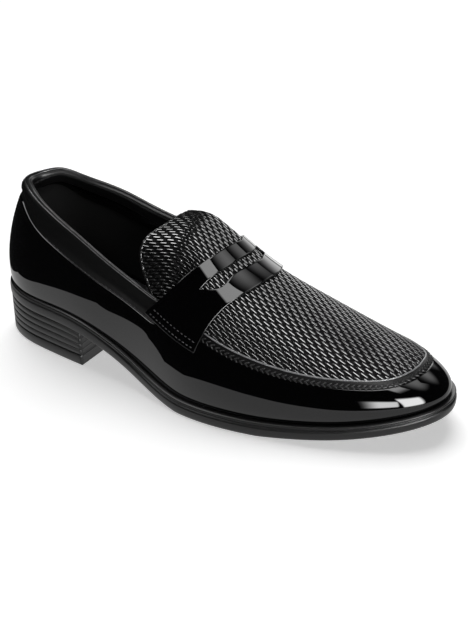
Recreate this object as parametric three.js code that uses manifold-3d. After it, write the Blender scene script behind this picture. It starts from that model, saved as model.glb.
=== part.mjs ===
// Slip-on dress shoe for the right foot, in millimetres, +Z up, toe along +X, outer side along -Y.
// Everything follows one last: a closed outline, a feather line, a ridge and lines that run
// from the feather line up to the ridge. An angle names a line: 0 at the toe, 180 at the heel back.

import * as THREE from 'three';
import { mergeVertices } from 'three/addons/utils/BufferGeometryUtils.js';
import Module from 'manifold-3d';

// Driving sizes of the sole
const LENGTH = 299.5;
const LATERAL_WIDTH = 56;
const MEDIAL_WIDTH = 50;
const TOE_SWING = 3;
const HEEL_HEIGHT = 21.6;
const HEEL_LENGTH = 76.5;
const TOP_LIFT = 6.6;
const TOE_SPRING = 13.5;
const SOLE_EDGE = 9.2;
const EDGE_ROUND = 1.4;
const EDGE_GROOVE = 1.1;
const SOLE_BLEND = 1.0;
const HEEL_INSET = 0.5;
const HEEL_GROOVE = 0.9;
const GROOVE_HEIGHT = 0.9;
const GROOVE_COUNT = 4;
const LIFT_BEVEL = 0.9;

// Driving sizes of the upper
const INSTEP_HEIGHT = 98;
const RIDGE_SWING = 7;
const BELLY = 2.2;
const FEATHER_INSET = 3.7;
const WALL = 2.0;
const COLLAR_HEIGHT = 64;
const COLLAR_BAND_WIDTH = 16.5;
const COLLAR_PADDING = 2.2;
const COLLAR_SWELL = 0.4;
const COLLAR_SINK = 1.0;
const COLLAR_BEVEL = 2.0;
const ROLL = 2.4;
const ROLL_INSIDE = 6;
const LINING_PADDING = 1.2;
const RIM_WIDTH = 4.2;
const RIM_HEIGHT = 1.0;
const RIM_SEAT = 0.9;
const RIM_BEVEL = 0.9;
const PLUG_THICKNESS = 1.8;
const TONGUE_DROP = 18;
const TONGUE_TUCK = 6;
const TONGUE_DEPTH = 8;
const THROAT_ROOM = 2.5;
const STRAP_THICKNESS = 1.4;
const STRAP_LIFT = 0.5;
const INSOLE_THICKNESS = 2.5;
const INSOLE_BEVEL = 0.8;

// Room between neighbours
const GAP = 0.3;

// How many lines and rows each surface is drawn with
const LINES = 64;
const WALL_ROWS = 7;
const HEEL_LINES = 31;
const INSOLE_LINES = 48;
const PLUG_LINES = 24;
const PLUG_ROWS = 8;
const STRAP_ROWS = 14;
const STRAP_STEPS = 8;
const SLOT_STEPS = 24;

// A natural cubic spline through a table's column
function spline(stations, values) {
  const last = stations.length - 1;
  const bend = new Array(last + 1).fill(0);
  const carry = new Array(last + 1).fill(0);
  for (let i = 1; i < last; i += 1) {
    const before = stations[i] - stations[i - 1];
    const after = stations[i + 1] - stations[i];
    const share = before / (before + after);
    const pivot = share * bend[i - 1] + 2;
    const turn = (values[i + 1] - values[i]) / after - (values[i] - values[i - 1]) / before;
    bend[i] = (share - 1) / pivot;
    carry[i] = (6 * turn / (before + after) - share * carry[i - 1]) / pivot;
  }
  const curve = new Array(last + 1).fill(0);
  for (let i = last - 1; i > 0; i -= 1) {
    curve[i] = bend[i] * curve[i + 1] + carry[i];
  }
  return (at) => {
    let i = 0;
    while (i < last - 1 && at > stations[i + 1]) {
      i += 1;
    }
    const span = stations[i + 1] - stations[i];
    const b = (at - stations[i]) / span;
    const a = 1 - b;
    const bow = ((a ** 3 - a) * curve[i] + (b ** 3 - b) * curve[i + 1]) * span * span / 6;
    return a * values[i] + b * values[i + 1] + bow;
  };
}

// A table with named columns: each column after the first becomes a smooth function of the first
function columns(names, rows) {
  const stations = rows.map((row) => row[0]);
  const made = names.slice(1).map((name, k) => [name, spline(stations, rows.map((row) => row[k + 1]))]);
  return Object.fromEntries(made);
}

// Sole outline: half widths as shares of the ball widths, on an ellipse over the length, sideways
// swing of the toe, and inset of the feather line as a share of its full inset
const OUTLINE = columns(['station', 'lateral', 'medial', 'swing', 'feather'], [
  [0.00, 0.84, 1.04, 0.0, 0.45],
  [0.07, 0.81, 1.00, 0.0, 0.50],
  [0.15, 0.75, 0.87, 0.0, 0.55],
  [0.25, 0.725, 0.72, 0.0, 0.65],
  [0.34, 0.735, 0.62, 0.0, 0.80],
  [0.42, 0.815, 0.585, 0.0, 0.95],
  [0.52, 0.965, 0.68, 0.0, 1.00],
  [0.62, 1.03, 0.91, 0.0, 1.00],
  [0.72, 1.03, 1.13, 0.0, 1.00],
  [0.82, 1.02, 1.25, 0.02, 1.00],
  [0.91, 1.02, 1.32, 0.35, 1.00],
  [1.00, 1.06, 1.42, 1.0, 1.00],
]);

// Sole in side view: rise of its bottom as shares of heel height and toe spring, and edge thickness
const SIDE = columns(['station', 'heel', 'spring', 'edge'], [
  [0.00, 1.18, 0.00, 1.00],
  [0.12, 1.10, 0.00, 1.00],
  [0.26, 1.00, 0.00, 1.00],
  [0.31, 0.82, 0.00, 1.00],
  [0.37, 0.56, 0.00, 1.00],
  [0.44, 0.24, 0.00, 1.00],
  [0.50, 0.05, -0.01, 1.00],
  [0.56, -0.03, -0.03, 1.00],
  [0.67, -0.01, -0.02, 0.97],
  [0.76, 0.00, 0.14, 0.93],
  [0.85, 0.00, 0.38, 0.90],
  [0.93, 0.00, 0.70, 0.90],
  [1.00, 0.00, 1.04, 0.90],
]);

// Last: ridge height over the floor, sideways swing of the ridge, roundness and belly of its lines
const LAST = columns(['station', 'ridge', 'swing', 'round', 'belly'], [
  [0.00, 1.36, 0.0, 1.58, 1.05],
  [0.20, 1.34, 0.0, 2.3, 0.75],
  [0.33, 1.24, 0.2, 2.4, 0.30],
  [0.42, 1.12, 0.5, 2.3, 0.10],
  [0.50, 0.975, 0.9, 2.2, 0.30],
  [0.60, 0.765, 1.0, 2.1, 0.80],
  [0.70, 0.622, 1.0, 2.0, 1.00],
  [0.78, 0.53, 0.9, 2.0, 1.00],
  [0.86, 0.458, 0.7, 2.1, 0.80],
  [0.93, 0.405, 0.5, 2.3, 0.60],
  [1.00, 0.37, 0.4, 2.35, 0.50],
]);

// Topline: height over the feather line on each side, as shares of the collar height at the back,
// and width of the padded band below it as a share of the widest
const TOPLINE = columns(['station', 'lateral', 'medial', 'band'], [
  [0.00, 1.045, 1.045, 0.55],
  [0.06, 1.08, 1.11, 0.64],
  [0.13, 1.00, 1.05, 0.92],
  [0.20, 0.88, 0.99, 0.98],
  [0.27, 0.79, 0.965, 1.00],
  [0.35, 0.725, 0.99, 0.84],
  [0.43, 0.72, 1.05, 0.80],
  [0.50, 0.72, 1.08, 0.80],
]);

// Apron line: how far up each line from feather to ridge it lies, 0 at the feather, 1 at the ridge
const APRON = columns(['station', 'lateral', 'medial'], [
  [0.42, 0.380, 0.450],
  [0.55, 0.372, 0.440],
  [0.65, 0.380, 0.425],
  [0.75, 0.400, 0.425],
  [0.85, 0.446, 0.450],
  [0.93, 0.512, 0.505],
  [0.97, 0.585, 0.565],
  [1.00, 0.642, 0.642],
]);

// Throat: stations between which the topline runs over into the apron line, under the strap
const THROAT_BACK = 0.44;
const THROAT_FRONT = 0.54;

// Tongue end: station of its free edge along the way from the side, 0, to the ridge, 1
const TONGUE_EDGE = columns(['way', 'lateral', 'medial'], [
  [0.00, 0.440, 0.430],
  [0.20, 0.398, 0.428],
  [0.40, 0.392, 0.432],
  [0.60, 0.402, 0.436],
  [0.80, 0.422, 0.439],
  [1.00, 0.440, 0.440],
]);

// Strap: stations of its rear and front edge, from the tab's lower edge, 0, to the ridge, 1
const STRAP = columns(['way', 'rear', 'front'], [
  [0.00, 0.432, 0.558],
  [0.20, 0.473, 0.572],
  [0.45, 0.508, 0.593],
  [0.70, 0.533, 0.618],
  [1.00, 0.549, 0.632],
]);
const TAB_REAR = 0.23;
const TAB_FRONT = 0.254;

// Slot: upper and lower edge as shares of the strap's width, along the strap from its outer
// tip, -1, over the ridge, 0, to its inner end, 1
const SLOT = columns(['along', 'upper', 'lower'], [
  [-1.00, 0.40, 0.41],
  [-0.88, 0.37, 0.63],
  [-0.75, 0.35, 0.67],
  [-0.60, 0.345, 0.57],
  [-0.30, 0.335, 0.53],
  [0.00, 0.33, 0.54],
  [0.50, 0.325, 0.53],
  [0.85, 0.35, 0.50],
  [1.00, 0.42, 0.43],
]);
const SLOT_LATERAL = 0.58;
const SLOT_MEDIAL = 0.30;

const mix = (a, b, t) => a + (b - a) * t;
const ease = (t) => {
  const held = Math.min(1, Math.max(0, t));
  return held * held * (3 - 2 * held);
};

// Station of a line, 0 at the heel back and 1 at the toe, and its side
const stationOf = (angle) => (1 + Math.cos(angle)) / 2;
const isLateral = (angle) => Math.sin(angle) < 0;
const angleAt = (station, lateral) => Math.acos(2 * station - 1) * (lateral ? -1 : 1);

// A point of the sole's outline, moved inwards by an inset
function outlinePoint(angle) {
  const station = stationOf(angle);
  const half = isLateral(angle)
    ? LATERAL_WIDTH * OUTLINE.lateral(station)
    : MEDIAL_WIDTH * OUTLINE.medial(station);
  const y = half * Math.sin(angle) + TOE_SWING * OUTLINE.swing(station);
  return new THREE.Vector2(LENGTH * station, y);
}

function outline(angle, inset) {
  const step = 0.002;
  const along = outlinePoint(angle + step).sub(outlinePoint(angle - step)).normalize();
  const inwards = new THREE.Vector2(-along.y, along.x);
  return outlinePoint(angle).addScaledVector(inwards, inset);
}

// Heights of the sole at a place along its length
const riseAt = (x) => HEEL_HEIGHT * SIDE.heel(x / LENGTH) + TOE_SPRING * SIDE.spring(x / LENGTH);
const bottomAt = (x) => Math.max(0, riseAt(x));
function topAt(x) {
  const rise = riseAt(x);
  return (rise + Math.hypot(rise, SOLE_BLEND)) / 2 + SOLE_EDGE * SIDE.edge(x / LENGTH);
}

// The ridge stops short of both ends, so lines fan out around toe and heel
const RIDGE_FRONT = 0.86;
const RIDGE_BACK = 0.17;
const RIDGE_TURN = 5;
function ridgeX(x) {
  const middle = (RIDGE_FRONT + RIDGE_BACK) / 2;
  const reach = (RIDGE_FRONT - RIDGE_BACK) / 2;
  const far = (x / LENGTH - middle) / reach;
  return LENGTH * (middle + reach * far / (1 + Math.abs(far) ** RIDGE_TURN) ** (1 / RIDGE_TURN));
}
const ridgeHeight = (x) => INSTEP_HEIGHT * LAST.ridge(x / LENGTH);

const featherInset = (station) => FEATHER_INSET * OUTLINE.feather(station);

// Share of a line's height on which its belly leans, and the way from which it faces the crest
const BELLY_LEAN = 0.7;
const CREST_WAY = 0.93;

// A bare point of the last at a line's angle and at a way up it, 0 at the feather, 1 at the ridge
function barePoint(angle, way) {
  const station = stationOf(angle);
  const foot = outline(angle, featherInset(station));
  const power = 2 / LAST.round(station);
  const turn = Math.min(1, Math.max(0, way)) * Math.PI / 2;
  const inwards = 1 - Math.cos(turn) ** power;
  const upwards = Math.sin(turn) ** power;
  const spineX = ridgeX(LENGTH * station);
  const spineY = RIDGE_SWING * LAST.swing(spineX / LENGTH);
  const belly = BELLY * LAST.belly(station) * Math.sin(Math.PI * upwards ** BELLY_LEAN);
  const out = foot.clone().sub(outline(angle, featherInset(station) + 1));
  const x = mix(foot.x, spineX, inwards) + out.x * belly;
  const y = mix(foot.y, spineY, inwards) + out.y * belly;
  const base = topAt(foot.x) + GAP;
  return new THREE.Vector3(x, y, mix(base, Math.max(base, ridgeHeight(x)), upwards));
}

// The outward direction of the last there
function outwards(angle, way) {
  const spineX = ridgeX(LENGTH * stationOf(angle));
  const run = LENGTH / 300;
  const slope = (ridgeHeight(spineX + run) - ridgeHeight(spineX - run)) / (2 * run);
  const crest = new THREE.Vector3(-slope, 0, 1).normalize();
  const step = 0.004;
  const low = Math.min(Math.max(way, step), 1 - step);
  const across = barePoint(angle + step, low).sub(barePoint(angle - step, low));
  const up = barePoint(angle, low + step).sub(barePoint(angle, low - step));
  const normal = across.cross(up).normalize();
  return normal.lerp(crest, ease((way - CREST_WAY) / (1 - CREST_WAY))).normalize();
}

function lastPoint(angle, way, offset) {
  return barePoint(angle, way).addScaledVector(outwards(angle, way), offset);
}

// The way up a line at which it reaches a height
function wayAtHeight(angle, height) {
  let low = 0;
  let high = 1;
  for (let k = 0; k < 24; k += 1) {
    const middle = (low + high) / 2;
    if (barePoint(angle, middle).z < height) {
      low = middle;
    } else {
      high = middle;
    }
  }
  return (low + high) / 2;
}

// The way up a line after a distance along the surface
function wayAfter(angle, way, distance) {
  const steps = 6;
  let at = way;
  for (let k = 0; k < steps; k += 1) {
    const speed = barePoint(angle, at + 0.01).distanceTo(barePoint(angle, at - 0.01)) / 0.02;
    at += distance / steps / speed;
  }
  return at;
}

// The upper's top edge: the topline around the heel, the apron line around the toe
function topWay(angle) {
  const station = stationOf(angle);
  const side = isLateral(angle) ? 'lateral' : 'medial';
  const inFront = ease((station - THROAT_BACK) / (THROAT_FRONT - THROAT_BACK));
  const apron = inFront > 0 ? APRON[side](station) : 0;
  const behind = Math.min(station, THROAT_FRONT);
  const height = topAt(LENGTH * station) + COLLAR_HEIGHT * TOPLINE[side](behind);
  const collar = inFront < 1 ? wayAtHeight(angle, height) : 0;
  return mix(collar, apron, inFront);
}

// Skins: loops of points joined strip by strip into one closed body. A loop that is open ends on
// the ridge, where both sides meet. Ends are closed across, from each point to its opposite.
function skin(loops, { closedPath = false, closedLoop = true }) {
  const size = loops[0].length;
  const places = loops.flat();
  const faces = [];
  const strips = closedPath ? loops.length : loops.length - 1;
  const edges = closedLoop ? size : size - 1;
  for (let i = 0; i < strips; i += 1) {
    const next = (i + 1) % loops.length;
    for (let j = 0; j < edges; j += 1) {
      const a = i * size + j;
      const b = i * size + (j + 1) % size;
      const c = next * size + (j + 1) % size;
      const d = next * size + j;
      const short = places[a].distanceTo(places[c]) <= places[b].distanceTo(places[d]);
      faces.push(...(short ? [a, b, c, a, c, d] : [a, b, d, b, c, d]));
    }
  }
  if (!closedPath) {
    const shift = (loops.length - 1) * size;
    for (let k = 0; k < size / 2 - 1; k += 1) {
      const [a, b, c, d] = [k, k + 1, size - 2 - k, size - 1 - k];
      faces.push(a, c, b, a, d, c);
      faces.push(shift + a, shift + b, shift + c, shift + a, shift + c, shift + d);
    }
  }
  const flat = places.flatMap((place) => place.toArray());
  const geometry = new THREE.BufferGeometry();
  geometry.setAttribute('position', new THREE.Float32BufferAttribute(flat, 3));
  geometry.setIndex(faces);
  return tidy(geometry);
}

// Merged vertices, no empty faces, and faces turned outwards
function tidy(geometry) {
  const merged = mergeVertices(geometry, 1e-4);
  const index = merged.index.array;
  const position = merged.attributes.position;
  const kept = [];
  let volume = 0;
  const corner = (k) => new THREE.Vector3().fromBufferAttribute(position, k);
  for (let i = 0; i < index.length; i += 3) {
    const [a, b, c] = [index[i], index[i + 1], index[i + 2]];
    if (a !== b && b !== c && a !== c) {
      kept.push(a, b, c);
      volume += corner(a).dot(corner(b).cross(corner(c)));
    }
  }
  if (volume < 0) {
    kept.reverse();
  }
  merged.setIndex(kept);
  return merged;
}

const wasm = await Module();
wasm.setup();

function toSolid(geometry) {
  const bare = geometry.clone();
  bare.deleteAttribute('normal');
  bare.deleteAttribute('uv');
  const merged = mergeVertices(bare, 1e-4);
  return new wasm.Manifold(new wasm.Mesh({
    numProp: 3,
    vertProperties: new Float32Array(merged.attributes.position.array),
    triVerts: new Uint32Array(merged.index.array),
  }));
}

function toGeometry(solid) {
  const mesh = solid.getMesh();
  const geometry = new THREE.BufferGeometry();
  geometry.setAttribute('position', new THREE.Float32BufferAttribute(mesh.vertProperties, 3));
  geometry.setIndex([...mesh.triVerts]);
  return geometry;
}

const ring = (count) => Array.from({ length: count }, (_, i) => 2 * Math.PI * i / count);
const steps = (count) => Array.from({ length: count + 1 }, (_, i) => i / count);

// Outsole: steps of its edge from the bottom up, a rounded wall, a groove and a lip over it.
// Columns: inset as shares of the rounding and of the groove, and share of the edge's thickness
const EDGE_STEPS = [
  [1.00, 0, 0.00],
  [0.20, 0, 0.10],
  [0.00, 0, 0.28],
  [0.07, 0, 0.62],
  [0.00, 1, 0.72],
  [0.00, 1, 0.80],
  [0.30, 0, 0.86],
  [0.40, 0, 0.97],
  [1.00, 0, 1.00],
];

// Rows of its flat faces, from the edge in to the middle
const CAP_ROWS = [0.12, 0.40, 0.72, 1.0];

function flatRow(angle, inset, reach, heightAt) {
  const edge = outline(angle, inset);
  const x = mix(edge.x, ridgeX(LENGTH * stationOf(angle)), reach);
  const y = mix(edge.y, 0, reach);
  return new THREE.Vector3(x, y, heightAt(x));
}

function outsole() {
  const loops = ring(LINES).map((angle) => {
    const under = [...CAP_ROWS].reverse().map((reach) => flatRow(angle, EDGE_ROUND, reach, bottomAt));
    const side = EDGE_STEPS.map(([round, groove, share]) => {
      const edge = outline(angle, EDGE_ROUND * round + EDGE_GROOVE * groove);
      return new THREE.Vector3(edge.x, edge.y, mix(bottomAt(edge.x), topAt(edge.x), share));
    });
    const over = CAP_ROWS.map((reach) => flatRow(angle, EDGE_ROUND, reach, topAt));
    return [...under, ...side, ...over];
  });
  return skin(loops, { closedPath: true, closedLoop: false });
}

// Heel: the outline behind the breast, in levels with grooves between them
const heelEnd = Math.acos(2 * HEEL_LENGTH / LENGTH - 1);

function heelLoop(inset, heightAt) {
  return steps(HEEL_LINES).map((t) => {
    const angle = mix(heelEnd, 2 * Math.PI - heelEnd, t);
    const edge = outline(angle, inset);
    return new THREE.Vector3(edge.x, edge.y, heightAt(edge.x));
  });
}

const heelSolid = (levels) => skin(levels.map(([inset, heightAt]) => heelLoop(inset, heightAt)), {});

const heelTop = (x) => bottomAt(Math.min(x, HEEL_LENGTH)) - GAP;
function heel() {
  const base = TOP_LIFT + GAP;
  const levelAt = (share, shift) => (x) => mix(base, heelTop(x), share) + shift;
  const levels = [[HEEL_INSET + HEEL_GROOVE, () => base]];
  for (let k = 0; k < GROOVE_COUNT; k += 1) {
    const low = k / GROOVE_COUNT;
    const high = (k + 1) / GROOVE_COUNT;
    levels.push([HEEL_INSET, levelAt(low, GROOVE_HEIGHT)]);
    levels.push([HEEL_INSET, levelAt(high, -GROOVE_HEIGHT / 2)]);
    levels.push([HEEL_INSET + HEEL_GROOVE, levelAt(high, 0)]);
  }
  return heelSolid(levels);
}

function topLift() {
  return heelSolid([
    [HEEL_INSET + LIFT_BEVEL, () => 0],
    [HEEL_INSET, () => LIFT_BEVEL],
    [HEEL_INSET, () => TOP_LIFT],
  ]);
}

// Insole: a thin bed inside the upper's foot
function insole() {
  const insetAt = (angle) => featherInset(stationOf(angle)) + WALL + GAP * 2;
  const under = (x) => topAt(x) + GAP;
  const over = (x) => under(x) + INSOLE_THICKNESS;
  const loops = ring(INSOLE_LINES).map((angle) => {
    const rows = [1, 0.5, 0];
    const low = rows.map((reach) => flatRow(angle, insetAt(angle) + INSOLE_BEVEL, reach, under));
    const high = [...rows].reverse().map((reach) => flatRow(angle, insetAt(angle), reach, over));
    return [...low, ...high];
  });
  return skin(loops, { closedPath: true, closedLoop: false });
}

// Upper: quarters, counter and mudguard as one shell. Towards its top edge the wall steps inwards
// for the padded collar band behind the throat, and for the apron's raised border in front of it.
function seatAt(angle) {
  const station = stationOf(angle);
  const inFront = ease((station - THROAT_BACK) / (THROAT_FRONT - THROAT_BACK));
  const band = COLLAR_BAND_WIDTH * TOPLINE.band(Math.min(station, THROAT_FRONT));
  return { width: mix(band, RIM_WIDTH, inFront), depth: mix(COLLAR_PADDING, RIM_SEAT, inFront) };
}

// Rows of the seat, from close over the step to the top edge
const SEAT_ROWS = [0.004, 0.5, 1];

function upper() {
  const loops = ring(LINES).map((angle) => {
    const top = topWay(angle);
    const seat = seatAt(angle);
    const stepWay = wayAfter(angle, top, -seat.width);
    const outer = [];
    const inner = [];
    for (const t of steps(WALL_ROWS)) {
      outer.push(lastPoint(angle, stepWay * t, 0));
      inner.push(lastPoint(angle, stepWay * t, -WALL));
    }
    for (const t of SEAT_ROWS) {
      outer.push(lastPoint(angle, mix(stepWay, top, t), -seat.depth));
      inner.push(lastPoint(angle, mix(stepWay, top, t), -WALL - seat.depth));
    }
    return [...outer, ...inner.reverse()];
  });
  return skin(loops, { closedPath: true });
}

// Plug and tongue: the apron's skin over the ridge, from the toe back to the tongue's free edge.
// Behind the throat its sides tuck in under the collar and its crest lies lower than the last's.
// Stations where the tuck starts and how long it takes, way up to which a side is tucked in,
// and the run of stations over which the crest sinks
const TUCK_BACK = 0.50;
const TUCK_RUN = 0.04;
const TUCK_FROM = 0.15;
const TUCK_OVER = 0.5;
const DROP_RUN = 0.13;
const DROP_SPEED = 1.2;

function plugPoint(angle, way, offset) {
  const station = stationOf(angle);
  const tuck = ease((THROAT_FRONT - station) / TUCK_RUN);
  const sunk = ease((TUCK_BACK - station) / TUCK_RUN);
  const clear = THROAT_ROOM * ease((THROAT_FRONT - station) / TUCK_RUN + 1) * (1 - sunk);
  const side = wayAfter(angle, topWay(angle), GAP * 2 + clear - TONGUE_DEPTH * sunk);
  const inset = TONGUE_TUCK * tuck * (1 - ease((way - TUCK_FROM) / TUCK_OVER));
  const place = lastPoint(angle, mix(side, 1, way), offset - inset);
  const sag = ease((TUCK_BACK - place.x / LENGTH) / DROP_RUN);
  const drop = TONGUE_DROP * sag * ease(way * DROP_SPEED);
  return place.add(new THREE.Vector3(0, 0, -drop));
}

function plug() {
  const loops = [];
  for (let i = -PLUG_LINES; i <= PLUG_LINES; i += 1) {
    const side = i < 0 ? 'lateral' : 'medial';
    const places = steps(PLUG_ROWS).map((way) => {
      const angle = angleAt(TONGUE_EDGE[side](way), false) * i / PLUG_LINES;
      return [angle, way];
    });
    const inner = places.map(([angle, way]) => plugPoint(angle, way, -PLUG_THICKNESS));
    const outer = places.map(([angle, way]) => plugPoint(angle, way, 0));
    loops.push([...inner.reverse(), ...outer]);
  }
  return skin(loops, { closedLoop: false });
}

// Bands that follow the upper's top edge: a section of points, each a distance up past the edge and
// an offset from the last, is carried along the lines
function edgeBand(angles, sectionAt) {
  return skin(angles.map((angle) => {
    const top = topWay(angle);
    return sectionAt(angle).map(([up, offset]) => lastPoint(angle, wayAfter(angle, top, up), offset));
  }), {});
}

// Collar band: padded leather that starts at the step, rolls over the top edge and ends inside.
// It lies a little below the last at the heel back and swells proud of it along the sides.
const BAND_END = 0.48;
const SWELL_FROM = 0.2;
const SWELL_END = 0.06;

function collarBand() {
  const angles = ring(LINES).filter((angle) => stationOf(angle) < BAND_END);
  const outside = GAP - COLLAR_PADDING;
  const inside = -COLLAR_PADDING - WALL - GAP;
  const over = GAP + ROLL;
  return edgeBand(angles, (angle) => {
    const station = stationOf(angle);
    const ends = ease((THROAT_BACK - station) / SWELL_END);
    const swell = mix(-COLLAR_SINK, COLLAR_SWELL, ease(station / SWELL_FROM)) * ends;
    const low = GAP - seatAt(angle).width;
    const outer = [
      [low, mix(outside, swell, 0.5)],
      [low + COLLAR_BEVEL, swell],
      [low / 2, swell],
      [0, swell / 4],
      [over * 0.63, -COLLAR_PADDING * 0.2],
      [over, mix(outside, inside, 0.25)],
      [over, mix(outside, inside, 0.8)],
      [over * 0.63, inside - LINING_PADDING * 0.65],
      [0, inside - LINING_PADDING],
      [-ROLL_INSIDE, inside - LINING_PADDING],
    ];
    const inner = [
      [low, outside],
      [low + COLLAR_BEVEL, outside],
      [low / 2, outside],
      [0, outside],
      [GAP, outside],
      [GAP, mix(outside, inside, 0.3)],
      [GAP, mix(outside, inside, 0.7)],
      [GAP, inside],
      [0, inside],
      [-ROLL_INSIDE, inside],
    ];
    return [...outer, ...inner.reverse()];
  });
}

// Raised border around the apron, in front of the strap
const RIM_END = 0.555;
function apronRim() {
  const turned = ring(LINES).map((angle) => angle - Math.PI);
  const angles = turned.filter((angle) => stationOf(angle) > RIM_END);
  const seat = GAP - RIM_SEAT;
  const low = GAP - RIM_WIDTH;
  const high = -GAP / 3;
  return edgeBand(angles, () => [
    [low, RIM_HEIGHT * 0.2],
    [low + RIM_BEVEL, RIM_HEIGHT],
    [high - RIM_BEVEL, RIM_HEIGHT],
    [high, RIM_HEIGHT * 0.3],
    [high, seat],
    [high - RIM_BEVEL, seat],
    [low + RIM_BEVEL, seat],
    [low, seat],
  ]);
}

// Saddle strap: from the outer tab over the ridge to the inner tab, cut by its slot
// Along runs from the outer tab, -1, over the ridge, 0, to the inner tab, 1
function strapPoint(along, across, offset) {
  const way = 1 - Math.abs(along);
  const station = mix(STRAP.rear(way), STRAP.front(way), across);
  const angle = angleAt(station, along < 0);
  return lastPoint(angle, mix(mix(TAB_REAR, TAB_FRONT, across), 1, way), offset);
}

function saddleStrap() {
  const loops = [];
  for (let i = -STRAP_ROWS; i <= STRAP_ROWS; i += 1) {
    const along = i / STRAP_ROWS;
    const under = steps(STRAP_STEPS).map((t) => strapPoint(along, t, STRAP_LIFT));
    const over = steps(STRAP_STEPS).map((t) => strapPoint(along, t, STRAP_LIFT + STRAP_THICKNESS));
    loops.push([...under, ...over.reverse()]);
  }
  const rim = [];
  for (const t of steps(SLOT_STEPS)) {
    rim.push(slotPoint(2 * t - 1, SLOT.upper));
  }
  for (const t of steps(SLOT_STEPS)) {
    rim.push(slotPoint(1 - 2 * t, SLOT.lower));
  }
  const through = { depth: INSTEP_HEIGHT * 2, bevelEnabled: false };
  const hole = new THREE.ExtrudeGeometry(new THREE.Shape(rim), through);
  return toGeometry(toSolid(skin(loops, {})).subtract(toSolid(hole)));
}

// The slot's edge seen from above
function slotPoint(along, edge) {
  const reach = along < 0 ? SLOT_LATERAL : SLOT_MEDIAL;
  const place = strapPoint(along * reach, edge(along), STRAP_LIFT);
  return new THREE.Vector2(place.x, place.y);
}

const pieces = [
  ['outsole', outsole(), 0x17171a, 0.45, 0],
  ['top_lift', topLift(), 0x1c1c1f, 0.55, 0],
  ['heel', heel(), 0x1a1a1d, 0.5, 0],
  ['insole', insole(), 0x2a2a2c, 0.8, 0],
  ['upper', upper(), 0x0b0b0d, 0.08, 0],
  ['plug', plug(), 0x101012, 0.3, 0],
  ['apron_rim', apronRim(), 0x0e0e10, 0.15, 0],
  ['collar_band', collarBand(), 0x131315, 0.45, 0],
  ['saddle_strap', saddleStrap(), 0x0b0b0d, 0.08, 0],
];

const shoe = new THREE.Group();
for (const [name, geometry, color, roughness, metalness] of pieces) {
  const mesh = new THREE.Mesh(geometry, new THREE.MeshStandardMaterial({ color, roughness, metalness }));
  mesh.name = name;
  shoe.add(mesh);
}

// The origin lies on the floor under the middle of the shoe's box
const box = new THREE.Box3().setFromObject(shoe);
const middle = box.getCenter(new THREE.Vector3());
shoe.position.set(-middle.x, -middle.y, -box.min.z);

export default shoe;
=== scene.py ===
import math

import bmesh
import bpy
import numpy as np
from mathutils import Matrix, Vector


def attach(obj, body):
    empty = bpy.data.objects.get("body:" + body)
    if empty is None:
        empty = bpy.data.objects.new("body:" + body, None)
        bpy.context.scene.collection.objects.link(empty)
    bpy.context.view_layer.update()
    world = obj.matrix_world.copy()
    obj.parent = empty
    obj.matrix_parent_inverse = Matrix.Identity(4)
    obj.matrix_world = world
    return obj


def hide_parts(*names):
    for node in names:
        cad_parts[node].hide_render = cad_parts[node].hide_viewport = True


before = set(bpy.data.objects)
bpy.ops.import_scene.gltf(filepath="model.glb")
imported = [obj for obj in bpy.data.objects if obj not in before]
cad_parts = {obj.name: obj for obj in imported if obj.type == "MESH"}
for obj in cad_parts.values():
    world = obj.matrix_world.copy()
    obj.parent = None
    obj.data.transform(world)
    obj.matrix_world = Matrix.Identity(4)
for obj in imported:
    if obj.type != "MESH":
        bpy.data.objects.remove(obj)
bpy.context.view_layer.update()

# Driving sizes of the shoe in millimetres, as in the part's source
LENGTH = 299.5
LATERAL_WIDTH = 56
MEDIAL_WIDTH = 50
TOE_SWING = 3
HEEL_HEIGHT = 21.6
HEEL_LENGTH = 76.5
TOP_LIFT = 6.6
TOE_SPRING = 13.5
SOLE_EDGE = 9.2
SOLE_BLEND = 1.0
HEEL_INSET = 0.5
INSTEP_HEIGHT = 98
RIDGE_SWING = 7
BELLY = 2.2
FEATHER_INSET = 3.7
WALL = 2.0
COLLAR_HEIGHT = 64
COLLAR_BAND_WIDTH = 16.5
COLLAR_PADDING = 2.2
RIM_WIDTH = 4.2
RIM_SEAT = 0.9
PLUG_THICKNESS = 1.8
TONGUE_DROP = 18
TONGUE_TUCK = 6
TONGUE_DEPTH = 8
THROAT_ROOM = 2.5
STRAP_THICKNESS = 1.4
STRAP_LIFT = 0.5
INSOLE_THICKNESS = 2.5
GAP = 0.3
RIDGE_FRONT = 0.86
RIDGE_BACK = 0.17
RIDGE_TURN = 5
BELLY_LEAN = 0.7
CREST_WAY = 0.93
THROAT_BACK = 0.44
THROAT_FRONT = 0.54
TUCK_BACK = 0.50
TUCK_RUN = 0.04
TUCK_FROM = 0.15
TUCK_OVER = 0.5
DROP_RUN = 0.13
DROP_SPEED = 1.2
TAB_REAR = 0.23
TAB_FRONT = 0.254
SLOT_LATERAL = 0.58
SLOT_MEDIAL = 0.30
BAND_END = 0.48
APRON_START = 0.42
MM = 0.001

# Fineness of the numeric work: halvings and strides up a line, and the share of a line to each side
HALVINGS = 24
STRIDES = 6
WAY_STEP = 0.01
# Distances in metres under which vertices are one, and edges are nothing
WELD = 1e-6
SLIVER = 1e-7


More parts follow.
